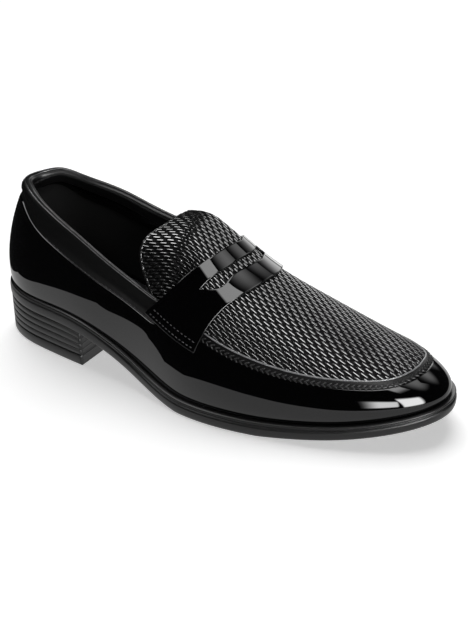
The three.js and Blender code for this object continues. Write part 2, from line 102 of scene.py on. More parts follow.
def spline(stations, values):
    """A natural cubic spline through a table's column."""
    x = np.array(stations, float)
    y = np.array(values, float)
    h = np.diff(x)
    n = len(x)
    lhs = np.eye(n)
    rhs = np.zeros(n)
    for i in range(1, n - 1):
        lhs[i, i - 1:i + 2] = h[i - 1], 2 * (h[i - 1] + h[i]), h[i]
        rhs[i] = 6 * ((y[i + 1] - y[i]) / h[i] - (y[i] - y[i - 1]) / h[i - 1])
    bend = np.linalg.solve(lhs, rhs)

    def at(place):
        s = np.asarray(place, float)
        i = np.clip(np.searchsorted(x, s) - 1, 0, n - 2)
        b = (s - x[i]) / h[i]
        a = 1 - b
        bow = ((a ** 3 - a) * bend[i] + (b ** 3 - b) * bend[i + 1]) * h[i] ** 2 / 6
        return a * y[i] + b * y[i + 1] + bow

    return at


def columns(names, rows):
    """A table with named columns: each after the first is a smooth function of the first."""
    stations = [row[0] for row in rows]
    return {name: spline(stations, [row[k + 1] for row in rows]) for k, name in enumerate(names[1:])}


OUTLINE = columns(["station", "lateral", "medial", "swing", "feather"], [
    (0.00, 0.84, 1.04, 0.0, 0.45),
    (0.07, 0.81, 1.00, 0.0, 0.50),
    (0.15, 0.75, 0.87, 0.0, 0.55),
    (0.25, 0.725, 0.72, 0.0, 0.65),
    (0.34, 0.735, 0.62, 0.0, 0.80),
    (0.42, 0.815, 0.585, 0.0, 0.95),
    (0.52, 0.965, 0.68, 0.0, 1.00),
    (0.62, 1.03, 0.91, 0.0, 1.00),
    (0.72, 1.03, 1.13, 0.0, 1.00),
    (0.82, 1.02, 1.25, 0.02, 1.00),
    (0.91, 1.02, 1.32, 0.35, 1.00),
    (1.00, 1.06, 1.42, 1.0, 1.00),
])
SIDE = columns(["station", "heel", "spring", "edge"], [
    (0.00, 1.18, 0.00, 1.00),
    (0.12, 1.10, 0.00, 1.00),
    (0.26, 1.00, 0.00, 1.00),
    (0.31, 0.82, 0.00, 1.00),
    (0.37, 0.56, 0.00, 1.00),
    (0.44, 0.24, 0.00, 1.00),
    (0.50, 0.05, -0.01, 1.00),
    (0.56, -0.03, -0.03, 1.00),
    (0.67, -0.01, -0.02, 0.97),
    (0.76, 0.00, 0.14, 0.93),
    (0.85, 0.00, 0.38, 0.90),
    (0.93, 0.00, 0.70, 0.90),
    (1.00, 0.00, 1.04, 0.90),
])
LAST = columns(["station", "ridge", "swing", "round", "belly"], [
    (0.00, 1.36, 0.0, 1.58, 1.05),
    (0.20, 1.34, 0.0, 2.3, 0.75),
    (0.33, 1.24, 0.2, 2.4, 0.30),
    (0.42, 1.12, 0.5, 2.3, 0.10),
    (0.50, 0.975, 0.9, 2.2, 0.30),
    (0.60, 0.765, 1.0, 2.1, 0.80),
    (0.70, 0.622, 1.0, 2.0, 1.00),
    (0.78, 0.53, 0.9, 2.0, 1.00),
    (0.86, 0.458, 0.7, 2.1, 0.80),
    (0.93, 0.405, 0.5, 2.3, 0.60),
    (1.00, 0.37, 0.4, 2.35, 0.50),
])
TOPLINE = columns(["station", "lateral", "medial", "band"], [
    (0.00, 1.045, 1.045, 0.55),
    (0.06, 1.08, 1.11, 0.64),
    (0.13, 1.00, 1.05, 0.92),
    (0.20, 0.88, 0.99, 0.98),
    (0.27, 0.79, 0.965, 1.00),
    (0.35, 0.725, 0.99, 0.84),
    (0.43, 0.72, 1.05, 0.80),
    (0.50, 0.72, 1.08, 0.80),
])
APRON = columns(["station", "lateral", "medial"], [
    (0.42, 0.380, 0.450),
    (0.55, 0.372, 0.440),
    (0.65, 0.380, 0.425),
    (0.75, 0.400, 0.425),
    (0.85, 0.446, 0.450),
    (0.93, 0.512, 0.505),
    (0.97, 0.585, 0.565),
    (1.00, 0.642, 0.642),
])
TONGUE_EDGE = columns(["way", "lateral", "medial"], [
    (0.00, 0.440, 0.430),
    (0.20, 0.398, 0.428),
    (0.40, 0.392, 0.432),
    (0.60, 0.402, 0.436),
    (0.80, 0.422, 0.439),
    (1.00, 0.440, 0.440),
])
STRAP = columns(["way", "rear", "front"], [
    (0.00, 0.432, 0.558),
    (0.20, 0.473, 0.572),
    (0.45, 0.508, 0.593),
    (0.70, 0.533, 0.618),
    (1.00, 0.549, 0.632),
])
SLOT = columns(["along", "upper", "lower"], [
    (-1.00, 0.40, 0.41),
    (-0.88, 0.37, 0.58),
    (-0.75, 0.35, 0.61),
    (-0.60, 0.345, 0.54),
    (-0.30, 0.335, 0.53),
    (0.00, 0.33, 0.54),
    (0.50, 0.325, 0.53),
    (0.85, 0.35, 0.50),
    (1.00, 0.42, 0.43),
])


# The last, as in the part's source, for whole arrays of angles and ways
def mix(a, b, t):
    return a + (b - a) * t


def ease(t):
    held = np.clip(t, 0, 1)
    return held * held * (3 - 2 * held)


def station_of(angle):
    return (1 + np.cos(angle)) / 2


def angle_at(station, lateral):
    return np.arccos(np.clip(2 * np.asarray(station, float) - 1, -1, 1)) * np.where(lateral, -1, 1)


def by_side(table, angle, at):
    return np.where(np.sin(angle) < 0, table["lateral"](at), table["medial"](at))


def outline_point(angle):
    station = station_of(angle)
    width = np.where(np.sin(angle) < 0, LATERAL_WIDTH, MEDIAL_WIDTH)
    y = width * by_side(OUTLINE, angle, station) * np.sin(angle) + TOE_SWING * OUTLINE["swing"](station)
    return np.stack([LENGTH * station, y], -1)


def outline(angle, inset):
    step = 0.002
    along = outline_point(angle + step) - outline_point(angle - step)
    along = along / np.linalg.norm(along, axis=-1, keepdims=True)
    inwards = np.stack([-along[..., 1], along[..., 0]], -1)
    return outline_point(angle) + inwards * np.asarray(inset, float)[..., None]


def rise_at(x):
    return HEEL_HEIGHT * SIDE["heel"](x / LENGTH) + TOE_SPRING * SIDE["spring"](x / LENGTH)


def bottom_at(x):
    return np.maximum(0, rise_at(x))


def top_at(x):
    rise = rise_at(x)
    return (rise + np.hypot(rise, SOLE_BLEND)) / 2 + SOLE_EDGE * SIDE["edge"](x / LENGTH)


def ridge_x(x):
    middle = (RIDGE_FRONT + RIDGE_BACK) / 2
    reach = (RIDGE_FRONT - RIDGE_BACK) / 2
    far = (x / LENGTH - middle) / reach
    return LENGTH * (middle + reach * far / (1 + np.abs(far) ** RIDGE_TURN) ** (1 / RIDGE_TURN))


def ridge_height(x):
    return INSTEP_HEIGHT * LAST["ridge"](x / LENGTH)


def feather_inset(station):
    return FEATHER_INSET * OUTLINE["feather"](station)


def bare_point(angle, way):
    """A point of the last: the angle goes round from the toe, the way up from the sole to the ridge."""
    angle, way = np.broadcast_arrays(np.asarray(angle, float), np.asarray(way, float))
    station = station_of(angle)
    inset = feather_inset(station)
    foot = outline(angle, inset)
    power = 2 / LAST["round"](station)
    turn = np.clip(way, 0, 1) * math.pi / 2
    inwards = 1 - np.clip(np.cos(turn), 0, 1) ** power
    upwards = np.clip(np.sin(turn), 0, 1) ** power
    spine_x = ridge_x(LENGTH * station)
    spine_y = RIDGE_SWING * LAST["swing"](spine_x / LENGTH)
    belly = BELLY * LAST["belly"](station) * np.sin(math.pi * upwards ** BELLY_LEAN)
    out = foot - outline(angle, inset + 1)
    x = mix(foot[..., 0], spine_x, inwards) + out[..., 0] * belly
    y = mix(foot[..., 1], spine_y, inwards) + out[..., 1] * belly
    base = top_at(foot[..., 0]) + GAP
    return np.stack([x, y, mix(base, np.maximum(base, ridge_height(x)), upwards)], -1)


def unit(vectors):
    return vectors / np.maximum(np.linalg.norm(vectors, axis=-1, keepdims=True), 1e-9)


def outwards(angle, way):
    angle, way = np.broadcast_arrays(np.asarray(angle, float), np.asarray(way, float))
    spine_x = ridge_x(LENGTH * station_of(angle))
    run = LENGTH / 300
    slope = (ridge_height(spine_x + run) - ridge_height(spine_x - run)) / (2 * run)
    crest = unit(np.stack([-slope, 0 * slope, 1 + 0 * slope], -1))
    step = 0.004
    low = np.clip(way, step, 1 - step)
    across = bare_point(angle + step, low) - bare_point(angle - step, low)
    up = bare_point(angle, low + step) - bare_point(angle, low - step)
    normal = unit(np.cross(across, up))
    return unit(mix(normal, crest, ease((way - CREST_WAY) / (1 - CREST_WAY))[..., None]))


def last_point(angle, way, offset=0.0):
    return bare_point(angle, way) + outwards(angle, way) * np.asarray(offset, float)[..., None]


def way_at_height(angle, height):
    """How far up each line of the last a height lies."""
    low = np.zeros_like(angle)
    high = np.ones_like(angle)
    for _ in range(HALVINGS):
        middle = (low + high) / 2
        below = bare_point(angle, middle)[..., 2] < height
        low = np.where(below, middle, low)
        high = np.where(below, high, middle)
    return (low + high) / 2


def way_after(angle, way, distance):
    """Where each line of the last is after a distance in millimetres along it."""
    angle, at, distance = np.broadcast_arrays(angle, way, distance)
    for _ in range(STRIDES):
        stride = bare_point(angle, at + WAY_STEP) - bare_point(angle, at - WAY_STEP)
        speed = np.linalg.norm(stride, axis=-1) / (2 * WAY_STEP)
        at = at + distance / STRIDES / speed
    return at


def past_throat(station):
    return ease((station - THROAT_BACK) / (THROAT_FRONT - THROAT_BACK))


def worked_top_way(angle):
    station = station_of(angle)
    collar = by_side(TOPLINE, angle, np.minimum(station, THROAT_FRONT))
    apron = by_side(APRON, angle, np.maximum(station, APRON_START))
    height = top_at(LENGTH * station) + COLLAR_HEIGHT * collar
    return mix(way_at_height(angle, height), apron, past_throat(station))


TURNS = np.linspace(-math.pi, math.pi, 2049)
TOP_WAYS = worked_top_way(TURNS)


def top_way(angle):
    """The upper's top edge: the topline around the heel, the apron line around the toe."""
    turned = (np.asarray(angle, float) + math.pi) % (2 * math.pi) - math.pi
    return np.interp(turned, TURNS, TOP_WAYS)


def seat(angle):
    """Width and depth of the seat for the collar band, and for the apron's border in front."""
    station = station_of(angle)
    in_front = past_throat(station)
    band = COLLAR_BAND_WIDTH * TOPLINE["band"](np.minimum(station, THROAT_FRONT))
    return mix(band, RIM_WIDTH, in_front), mix(COLLAR_PADDING, RIM_SEAT, in_front)


def plug_angle(side_share, way):
    edge = by_side(TONGUE_EDGE, side_share, way)
    return angle_at(edge, False) * side_share


def plug_point(angle, way, offset=0.0):
    """A point of the plug and tongue, from the side, 0, to the ridge, 1."""
    station = station_of(angle)
    tuck = ease((THROAT_FRONT - station) / TUCK_RUN)
    sunk = ease((TUCK_BACK - station) / TUCK_RUN)
    clear = THROAT_ROOM * ease((THROAT_FRONT - station) / TUCK_RUN + 1) * (1 - sunk)
    side = way_after(angle, top_way(angle), GAP * 2 + clear - TONGUE_DEPTH * sunk)
    inset = TONGUE_TUCK * tuck * (1 - ease((way - TUCK_FROM) / TUCK_OVER))
    place = last_point(angle, mix(side, 1, way), offset - inset)
    sag = ease((TUCK_BACK - place[..., 0] / LENGTH) / DROP_RUN)
    place[..., 2] -= TONGUE_DROP * sag * ease(way * DROP_SPEED)
    return place


def strap_point(along, across, offset=0.0):
    """A point of the strap: along it from the outer tab to the inner one, across it from the rear."""
    way = 1 - np.abs(along)
    station = mix(STRAP["rear"](way), STRAP["front"](way), across)
    angle = angle_at(station, along < 0)
    return last_point(angle, mix(mix(TAB_REAR, TAB_FRONT, across), 1, way), offset)


# From the shoe's own corner to the frame: the box's middle lies over the origin
SWEEP = outline_point(TURNS)[:, 1]
SHIFT = np.array([-LENGTH / 2, -(SWEEP.max() + SWEEP.min()) / 2, 0])


def to_frame(points):
    return (np.asarray(points) + SHIFT) * MM


# Mesh work
def keep(name, work, smooth=True, riding=True):
    """Makes the finished bmesh a piece, which rides the shoe unless it is part of the studio."""
    mesh = bpy.data.meshes.new(name)
    work.to_mesh(mesh)
    work.free()
    piece = bpy.data.objects.new(name, mesh)
    bpy.context.scene.collection.objects.link(piece)
    mesh.polygons.foreach_set("use_smooth", [smooth] * len(mesh.polygons))
    if riding:
        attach(piece, "root")
    return piece


def grid(count, size, layer=None):
    """A flat grid, and each of its vertices with its row and its column; a layer keeps a vector on each."""
    work = bmesh.new()
    bmesh.ops.create_grid(work, x_segments=count - 1, y_segments=size - 1, size=0.5)
    if layer:
        work.verts.layers.float_vector.new(layer)
    places = {vert: (round((vert.co.x + 0.5) * (count - 1)), round((vert.co.y + 0.5) * (size - 1)))
              for vert in work.verts}
    return work, places


def weld(work):
    bmesh.ops.remove_doubles(work, verts=work.verts, dist=WELD)
    bmesh.ops.dissolve_degenerate(work, edges=work.edges, dist=SLIVER)


def lofted(points, caps=False):
    """A grid whose vertices move to the points, a row for each section, joined where it closes."""
    work, places = grid(*points.shape[:2])
    spots = to_frame(points)
    for vert, place in places.items():
        vert.co = spots[place]
    weld(work)
    if caps:
        rims = [edge for edge in work.edges if edge.is_boundary]
        bmesh.ops.holes_fill(work, edges=rims, sides=0)
    bmesh.ops.recalc_face_normals(work, faces=work.faces)
    return work


def face_up(work):
    """Turns all faces of an open sheet up, away from the floor."""
    work.normal_update()
    if sum(face.normal.z for face in work.faces) < 0:
        bmesh.ops.reverse_faces(work, faces=work.faces)


def rounded(corners, steps, loop=False):
    """A smooth line through corners, with steps points from each to the next."""
    dots = np.asarray(corners, float)
    if loop:
        dots = np.concatenate([dots[..., -1:, :], dots, dots[..., :2, :]], -2)
    else:
        before = 2 * dots[..., :1, :] - dots[..., 1:2, :]
        after = 2 * dots[..., -1:, :] - dots[..., -2:-1, :]
        dots = np.concatenate([before, dots, after], -2)
    t = (np.arange(steps) / steps)[:, None]
    out = []
    for k in range(1, dots.shape[-2] - 2):
        a, b, c, d = (dots[..., k + i, :][..., None, :] for i in (-1, 0, 1, 2))
        bend = (2 * a - 5 * b + 4 * c - d) * t ** 2 + (3 * b - 3 * c + d - a) * t ** 3
        out.append(0.5 * (2 * b + (c - a) * t + bend))
    out.append(dots[..., -2:-1, :])
    return np.concatenate(out, -2)


def section(angles, *corners):
    """Corners of a section at each angle: distance past the top edge and offset from the last."""
    size = np.shape(angles)
    pairs = [[np.broadcast_to(value, size) for value in corner] for corner in corners]
    return np.moveaxis(np.array(pairs), -1, 0)


def skin_points(angles, sections):
    """Sections of distance past the top edge and offset, carried along the lines."""
    wide = angles[:, None] + 0 * sections[..., 0]
    way = way_after(wide, top_way(angles)[:, None], sections[..., 0])
    return last_point(wide, way, sections[..., 1])


def edge_path(angles, distance, offset):
    """A path on the upper at a distance past its top edge, with its normals."""
    way = way_after(angles, top_way(angles), distance + 0 * angles)
    return last_point(angles, way, offset + 0 * angles), outwards(angles, way)


def tube(path, normals, radius, sides=8, taper=2):
    """A round cord along a path, closed at both ends."""
    tangent = unit(np.gradient(path, axis=0))
    side = unit(np.cross(tangent, normals))
    up = np.cross(side, tangent)
    size = radius + np.zeros(len(path))
    for k in range(taper):
        size[k] *= math.sin(k / taper * math.pi / 2)
        size[-1 - k] *= math.sin(k / taper * math.pi / 2)
    turn = np.linspace(0, 2 * math.pi, sides + 1)
    ring = np.cos(turn)[None, :, None] * side[:, None] + np.sin(turn)[None, :, None] * up[:, None]
    return path[:, None] + ring * size[:, None, None]


def distances(path):
    """How far along a path each of its points lies."""
    return np.concatenate([[0], np.cumsum(np.linalg.norm(np.diff(path, axis=0), axis=1))])


def at_stops(stops, run, values):
    return np.stack([np.interp(stops, run, values[:, k]) for k in range(3)], -1)


def spaced(path, normals, gap, reach=0.2):
    """Points, normals and tangents at even distances along a path; a tangent reaches to both sides."""
    run = distances(path)
    count = max(2, round(run[-1] / gap))
    stops = (np.arange(count) + 0.5) * run[-1] / count
    tangents = unit(at_stops(stops + reach, run, path) - at_stops(stops - reach, run, path))
    return at_stops(stops, run, path), unit(at_stops(stops, run, normals)), tangents


def add_stitches(work, path, normals, gap, length, width, height, slant=0.0, sideways=0.0):
    """A row of thread stitches, each a small rounded grain that lies on the leather."""
    spots, faces, tangents = spaced(path, normals, gap)
    for spot, face, tangent in zip(spots, faces, tangents):
        side = unit(np.cross(face, tangent))
        along = unit(tangent * math.cos(slant) + side * math.sin(slant))
        over = unit(np.cross(face, along))
        place = to_frame(spot + side * sideways)
        axes = np.stack([along * length / 2, over * width / 2, face * height], 1) * MM
        matrix = Matrix([[*axes[0], place[0]], [*axes[1], place[1]], [*axes[2], place[2]], [0, 0, 0, 1]])
        bmesh.ops.create_icosphere(work, subdivisions=2, radius=1, matrix=matrix)


# Materials
def linear(colour):
    """A colour written as sRGB hex, as linear light."""
    parts = [int(colour[k:k + 2], 16) / 255 for k in (1, 3, 5)]
    return [c / 12.92 if c <= 0.04045 else ((c + 0.055) / 1.055) ** 2.4 for c in parts] + [1]


def node(tree, kind, settings=None, inputs=None, **links):
    """A node with its settings, its plain input values and its links from other nodes."""
    made = tree.nodes.new(kind)
    for key, value in (settings or {}).items():
        setattr(made, key, value)
    for key, value in (inputs or {}).items():
        if isinstance(value, bpy.types.NodeSocket):
            tree.links.new(value, made.inputs[key])
        else:
            made.inputs[key].default_value = value
    for key, source in links.items():
        tree.links.new(source, made.inputs[key.replace("_", " ")])
    return made


# The grain of calf and lining leather, really 0.3 to 0.5 mm, is drawn at 0.7 to 0.9 mm so that it shows
def finish(name, colour, roughness, bumps, **surface):
    """A surface with its gloss and layers of grain: each a size, a depth in millimetres and a kind."""
    material = bpy.data.materials.new(name)
    material.use_nodes = True
    tree = material.node_tree
    shader = tree.nodes["Principled BSDF"]
    shader.inputs["Base Color"].default_value = linear(colour)
    shader.inputs["Roughness"].default_value = roughness
    for key, value in surface.items():
        shader.inputs[key.replace("_", " ")].default_value = value
    place = node(tree, "ShaderNodeTexCoord").outputs["Object"]
    normal = None
    for size, depth, kind in bumps:
        if kind == "grain":
            grain = node(tree, "ShaderNodeTexVoronoi", {"feature": "SMOOTH_F1"},
                         {"Scale": 1 / (size * MM)}, Vector=place).outputs["Distance"]
        else:
            grain = node(tree, "ShaderNodeTexNoise", None,
                         {"Scale": 1 / (size * MM), "Detail": 2.0}, Vector=place).outputs["Fac"]
        links = {"Height": grain}
        if normal is not None:
            links["Normal"] = normal
        relief = node(tree, "ShaderNodeBump", None, {"Strength": 1.0, "Distance": depth * MM}, **links)
        normal = relief.outputs["Normal"]
    if normal is not None:
        tree.links.new(normal, shader.inputs["Normal"])
    return material


# Patent leather: a clear lacquer over black, which alone mirrors, with faint waves from the lasting
PATENT = finish("patent_leather", "#030304", 0.3, [(22, 0.10, "wave")],
                Specular_IOR_Level=0.0, Coat_Weight=1.0, Coat_Roughness=0.015, Coat_IOR=1.5)
# Smooth border leather: dull black beside the bead
BORDER = finish("dull_border_leather", "#040405", 0.4, [(0.8, 0.006, "grain")],
                Specular_IOR_Level=0.15, Coat_Weight=0.2, Coat_Roughness=0.2)
# Bead: leather drawn hard over a cord, coloured light grey as a painted highlight, a fine bright line
BEAD_PAINTED_HIGHLIGHT = finish("bead_painted_highlight", "#9a9a9c", 0.3, [], Specular_IOR_Level=1.0)
# Folded edges: thin glazed leather, coloured mid grey as a painted highlight along the fine lines
EDGE_PAINTED_HIGHLIGHT = finish("edge_leather_painted_highlight", "#4c4c4e", 0.3, [(0.5, 0.01, "wave")],
                      Specular_IOR_Level=1.0, Coat_Weight=1.0, Coat_Roughness=0.2)
# Soft calf leather of the collar: fine grain, satin
COLLAR = finish("soft_calf_leather", "#0b0b0c", 0.4, [(0.9, 0.02, "grain"), (14, 0.15, "wave")],
                Specular_IOR_Level=0.4)
# Lining leather: matt, a fine hair-cell grain
LINING = finish("lining_leather", "#070708", 0.7, [(0.7, 0.03, "grain")], Specular_IOR_Level=0.2)
# Insole sock: dark grey leather, matt, coloured lighter than its own grey as painted light inside the
# shadowed shoe
SOCK_PAINTED_LIGHT = finish("insole_sock_painted_light", "#555558", 0.65, [(0.8, 0.03, "grain")], Specular_IOR_Level=0.3)
# Moulded rubber of the sole: satin from the mould, with a faint skin texture
RUBBER = finish("moulded_rubber", "#0d0d0e", 0.36, [(0.8, 0.02, "wave"), (30, 0.15, "wave")],
                Specular_IOR_Level=0.4)
# Heel rubber: moulded with grooves
HEEL_RUBBER = finish("grooved_heel_rubber", "#0e0e0f", 0.42, [(0.8, 0.02, "wave")], Specular_IOR_Level=0.4)
# Waxed thread of the chain stitches: black, with small glints
THREAD = finish("waxed_thread", "#101011", 0.28, [(0.25, 0.03, "wave")])
# Bonded thread of the collar and the strap's tabs: dark grey, a little lighter than the leather
BONDED_THREAD = finish("bonded_grey_thread", "#303032", 0.35, [(0.25, 0.03, "wave")])


# The lattice of the plug and tongue, in millimetres of the flat leather: grains in staggered rows.
# The stagger is a share of the pitch. A grain's section is squared off by a power and domed by another,
# and a share of its height lies below the leather's face. The glaze covers less than the grain.
GRAIN_PITCH = 6.9
GRAIN_ROW = 1.95
GRAIN_STAGGER = 0.41
GRAIN_LENGTH = 5.9
GRAIN_WIDTH = 1.4
GRAIN_TILT = math.radians(3.5)
GRAIN_HEIGHT = 0.5
GRAIN_SQUARENESS = 4
GRAIN_DOME = 0.4
GRAIN_SINK = 0.45
GLAZE_LENGTH = 5.4
GLAZE_WIDTH = 1.0
GLAZE_SQUARENESS = 3.0
GLAZE_FULL = 0.6
GLAZE_END = 1.0


def embossed_leather():
    """Leather glazed on the tops of its grains only, which glint, while the valleys stay dull and black."""
    material = finish("embossed_glazed_leather", "#020203", 0.55, [], Specular_IOR_Level=0.1,
                      Coat_IOR=2.4, Coat_Roughness=0.09)
    tree = material.node_tree
    flat = node(tree, "ShaderNodeAttribute", {"attribute_name": "flat"}).outputs["Vector"]
    parts = node(tree, "ShaderNodeSeparateXYZ", None, {"Vector": flat}).outputs
    found = {"along": parts["X"], "across": parts["Y"]}
    for name, operation, values in (
            ("row", "DIVIDE", ("across", GRAIN_ROW)),
            ("lag", "MULTIPLY", ("row", GRAIN_STAGGER)),
            ("turn", "DIVIDE", ("along", GRAIN_PITCH)),
            ("place", "SUBTRACT", ("turn", "lag")),
            ("part", "WRAP", ("place", 0.5, -0.5)),
            ("row_part", "WRAP", ("row", 0.5, -0.5)),
            ("row_run", "MULTIPLY", ("row_part", GRAIN_STAGGER * GRAIN_PITCH)),
            ("u", "MULTIPLY_ADD", ("part", GRAIN_PITCH, "row_run")),
            ("v", "MULTIPLY", ("row_part", GRAIN_ROW)),
            ("u_ahead", "MULTIPLY", ("u", math.cos(GRAIN_TILT))),
            ("ahead", "MULTIPLY_ADD", ("v", math.sin(GRAIN_TILT), "u_ahead")),
            ("v_aside", "MULTIPLY", ("v", math.cos(GRAIN_TILT))),
            ("aside", "MULTIPLY_ADD", ("u", -math.sin(GRAIN_TILT), "v_aside")),
            ("end", "MULTIPLY", ("ahead", 2 / GLAZE_LENGTH)),
            ("end_size", "ABSOLUTE", ("end",)),
            ("end_far", "POWER", ("end_size", GLAZE_SQUARENESS)),
            ("side", "MULTIPLY", ("aside", 2 / GLAZE_WIDTH)),
            ("side_size", "ABSOLUTE", ("side",)),
            ("side_far", "POWER", ("side_size", GLAZE_SQUARENESS)),
            ("far", "ADD", ("end_far", "side_far"))):
        inputs = {k: found.get(value, value) for k, value in enumerate(values)}
        found[name] = node(tree, "ShaderNodeMath", {"operation": operation}, inputs).outputs["Value"]
    glaze = node(tree, "ShaderNodeMapRange", {"interpolation_type": "SMOOTHSTEP"},
                 {"Value": found["far"], "From Min": GLAZE_FULL, "From Max": GLAZE_END,
                  "To Min": 1.0, "To Max": 0.0})
    tree.links.new(glaze.outputs["Result"], tree.nodes["Principled BSDF"].inputs["Coat Weight"])
    return material


EMBOSSED = embossed_leather()
# Turned edge of the tongue: the same leather folded under, its grains pressed flat
TURNED_EDGE = finish("turned_edge_leather", "#040405", 0.35, [(0.6, 0.01, "wave")], Coat_Weight=0.5,
                     Coat_Roughness=0.2)


def dress(piece, material, slot, *nodes):
    """Gives a piece its finish, and hides the model's parts for the nodes it stands for; the slot is not
    used.
    """
    piece.data.materials.clear()
    piece.data.materials.append(material)
    if nodes:
        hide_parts(*nodes)
    return piece


# Sole: its edge from the bottom up, share of the thickness, inset in millimetres at the forepart and heel
EDGE = np.array([
    (0.00, 1.60, 1.00),
    (0.05, 0.80, 0.50),
    (0.14, 0.25, 0.15),
    (0.30, 0.00, 0.00),
    (0.50, 0.00, 0.00),
    (0.62, 0.15, 0.05),
    (0.70, 0.75, 0.15),
    (0.75, 1.15, 0.30),
    (0.80, 1.10, 0.35),
    (0.85, 0.60, 0.40),
    (0.90, 0.45, 0.45),
    (0.96, 0.70, 0.80),
    (1.00, 1.40, 1.60),
])
# Rings of the sole's bottom and top: how far each reaches in from the edge to the middle line
BOTTOM_REACH = (1.0, 0.85, 0.6, 0.35, 0.15, 0.05)
TOP_REACH = (0.03, 0.12, 0.35, 0.65, 1.0)
FOREPART_START = 0.28
FOREPART_RUN = 0.2
RING = np.linspace(0, 2 * math.pi, 321)


def ring_at(inset, reach):
    """A ring round the foot, drawn in from the outline and some way towards the middle line."""
    spot = outline(RING, inset)
    return mix(spot[:, 0], ridge_x(LENGTH * station_of(RING)), reach), mix(spot[:, 1], 0, reach)


def outsole():
    fore = ease((station_of(RING) - FOREPART_START) / FOREPART_RUN)
    edge = rounded(EDGE, 3)
    rows = [(mix(EDGE[0, 2], EDGE[0, 1], fore), reach, 0.0) for reach in BOTTOM_REACH]
    rows += [(mix(back, front, fore), 0.0, share) for share, front, back in edge]
    rows += [(mix(EDGE[-1, 2], EDGE[-1, 1], fore), reach, 1.0) for reach in TOP_REACH]
    points = []
    for inset, reach, share in rows:
        x, y = ring_at(inset, reach)
        points.append(np.stack([x, y, mix(bottom_at(x), top_at(x), share)], -1))
    return keep("outsole_moulded", lofted(np.stack(points, 1)))


def heel_points(levels, lines=150, breast=24):
    """Rings round the heel and across its breast, at each level's inset and height, closed at the ends."""
    end = math.acos(2 * HEEL_LENGTH / LENGTH - 1)
    angles = np.linspace(end, 2 * math.pi - end, lines)
    rows = []
    for inset, height_at in levels:
        curve = outline(angles, np.full(lines, inset))
        across = np.linspace(0, 1, breast + 2)[1:, None]
        flat = np.concatenate([curve, mix(curve[-1], curve[0], across)])
        rows.append(np.column_stack([flat, height_at(flat[:, 0])]))
    rows = np.array(rows)
    middle = [row.mean(0) for row in (rows[0], rows[-1])]
    under = [mix(middle[0], rows[0], t) for t in (0, 0.5, 0.9)]
    over = [mix(middle[1], rows[-1], t) for t in (0.9, 0.5, 0)]
    return np.concatenate([under, rows, over]).transpose(1, 0, 2)


# Heel block: where its five grooves lie, as shares of its height, and a groove's section, rise and depth
HEEL_GROOVES = [0.02, 0.25, 0.50, 0.75, 0.985]
GROOVE_SECTION = [(-0.62, 0.0), (-0.42, 0.12), (-0.30, 0.75), (0.30, 0.75), (0.42, 0.12), (0.62, 0.0)]
HEEL_ROUNDING = 1.2


def heel_block():
    base = TOP_LIFT + GAP / 2

    def level(share, shift=0.0):
        def height(x):
            return mix(base, bottom_at(np.minimum(x, HEEL_LENGTH)), share) + shift
        return height

    levels = [(HEEL_INSET + HEEL_ROUNDING, level(0))]
    for share in HEEL_GROOVES:
        for rise, depth in GROOVE_SECTION:
            if 0 < share + rise / HEEL_HEIGHT < 1.0:
                levels.append((HEEL_INSET + depth, level(share, rise)))
    levels.append((HEEL_INSET + HEEL_ROUNDING, level(1.0, -0.05)))
    return keep("heel_block", lofted(heel_points(levels)))


# Top lift: its side from the floor up, inset and height
LIFT_SIDE = [(1.0, 0.0), (0.3, 0.25), (0.0, 1.0), (0.0, TOP_LIFT - 0.5), (0.3, TOP_LIFT)]


def top_lift():
    levels = [(HEEL_INSET + inset, lambda x, height=height: 0 * x + height) for inset, height in LIFT_SIDE]
    return keep("heel_top_lift", lofted(heel_points(levels)))


# Insole: from the middle of its bottom round the edge to the middle of its top, reach inwards and rise
INSOLE_SECTION = ((1, 0), (0, 0), (0, 0.7), (0.02, 1), (0.3, 1), (0.7, 1), (1, 1))


def insole():
    inset = feather_inset(station_of(RING)) + WALL + GAP
    rows = []
    for reach, rise in INSOLE_SECTION:
        x, y = ring_at(inset, reach)
        rows.append(np.stack([x, y, top_at(x) + GAP + INSOLE_THICKNESS * rise], -1))
    return keep("insole_sock", lofted(np.stack(rows, 1)))


# Upper: mudguard and quarters, patent, from the feather line to the seat under collar and border.
# Its outer face turns in over the last share of the way, where the collar or border starts.
OUTER_LINES = 44
INNER_LINES = 20
TURN_SHARE = 0.985
TURN_DEPTH = 0.25


def upper_shell():
    top = top_way(RING)
    width, depth = seat(RING)
    step = way_after(RING, top, -width)
    rows = []
    for t in np.linspace(0, 1, OUTER_LINES):
        turned = -TURN_DEPTH if t > TURN_SHARE else 0.0
        rows.append(last_point(RING, step * t, np.full_like(RING, turned)))
    for t, sink in ((0.01, 0.6), (0.03, 1.0), (0.35, 1.0), (0.7, 1.0), (1.0, 1.0)):
        rows.append(last_point(RING, mix(step, top, t), -depth * sink))
    for t in (1.0, 0.5, 0.05):
        rows.append(last_point(RING, mix(step, top, t), -depth - WALL))
    for t in np.linspace(1, 0, INNER_LINES):
        rows.append(last_point(RING, step * t, np.full_like(RING, -WALL)))
    rows.append(rows[0])
    return keep("upper_patent_shell", lofted(np.stack(rows, 1)))


# Quarter lining: a thin skin inside the upper, which sinks under the collar at the back of the shoe
LINING_FACES = (0.25, 0.75)
LINING_LINES = 30


def quarter_lining():
    top = top_way(RING)
    depth = seat(RING)[1]
    behind = ease((THROAT_FRONT - station_of(RING)) / 0.03)
    faces = []
    for inside in LINING_FACES:
        faces.append([last_point(RING, top * t, -WALL - inside - depth * ease((t - 0.8) / 0.15) * behind)
                      for t in np.linspace(0.02, 1, LINING_LINES)])
    rows = [*faces[0], *faces[1][::-1], faces[0][0]]
    return keep("quarter_lining", lofted(np.stack(rows, 1)))


# Collar band: padded soft leather in the seat, rolled over the top edge into the lining
BAND_START = math.acos(2 * BAND_END - 1)
BAND_SPAN = np.linspace(BAND_START, 2 * math.pi - BAND_START, 261)
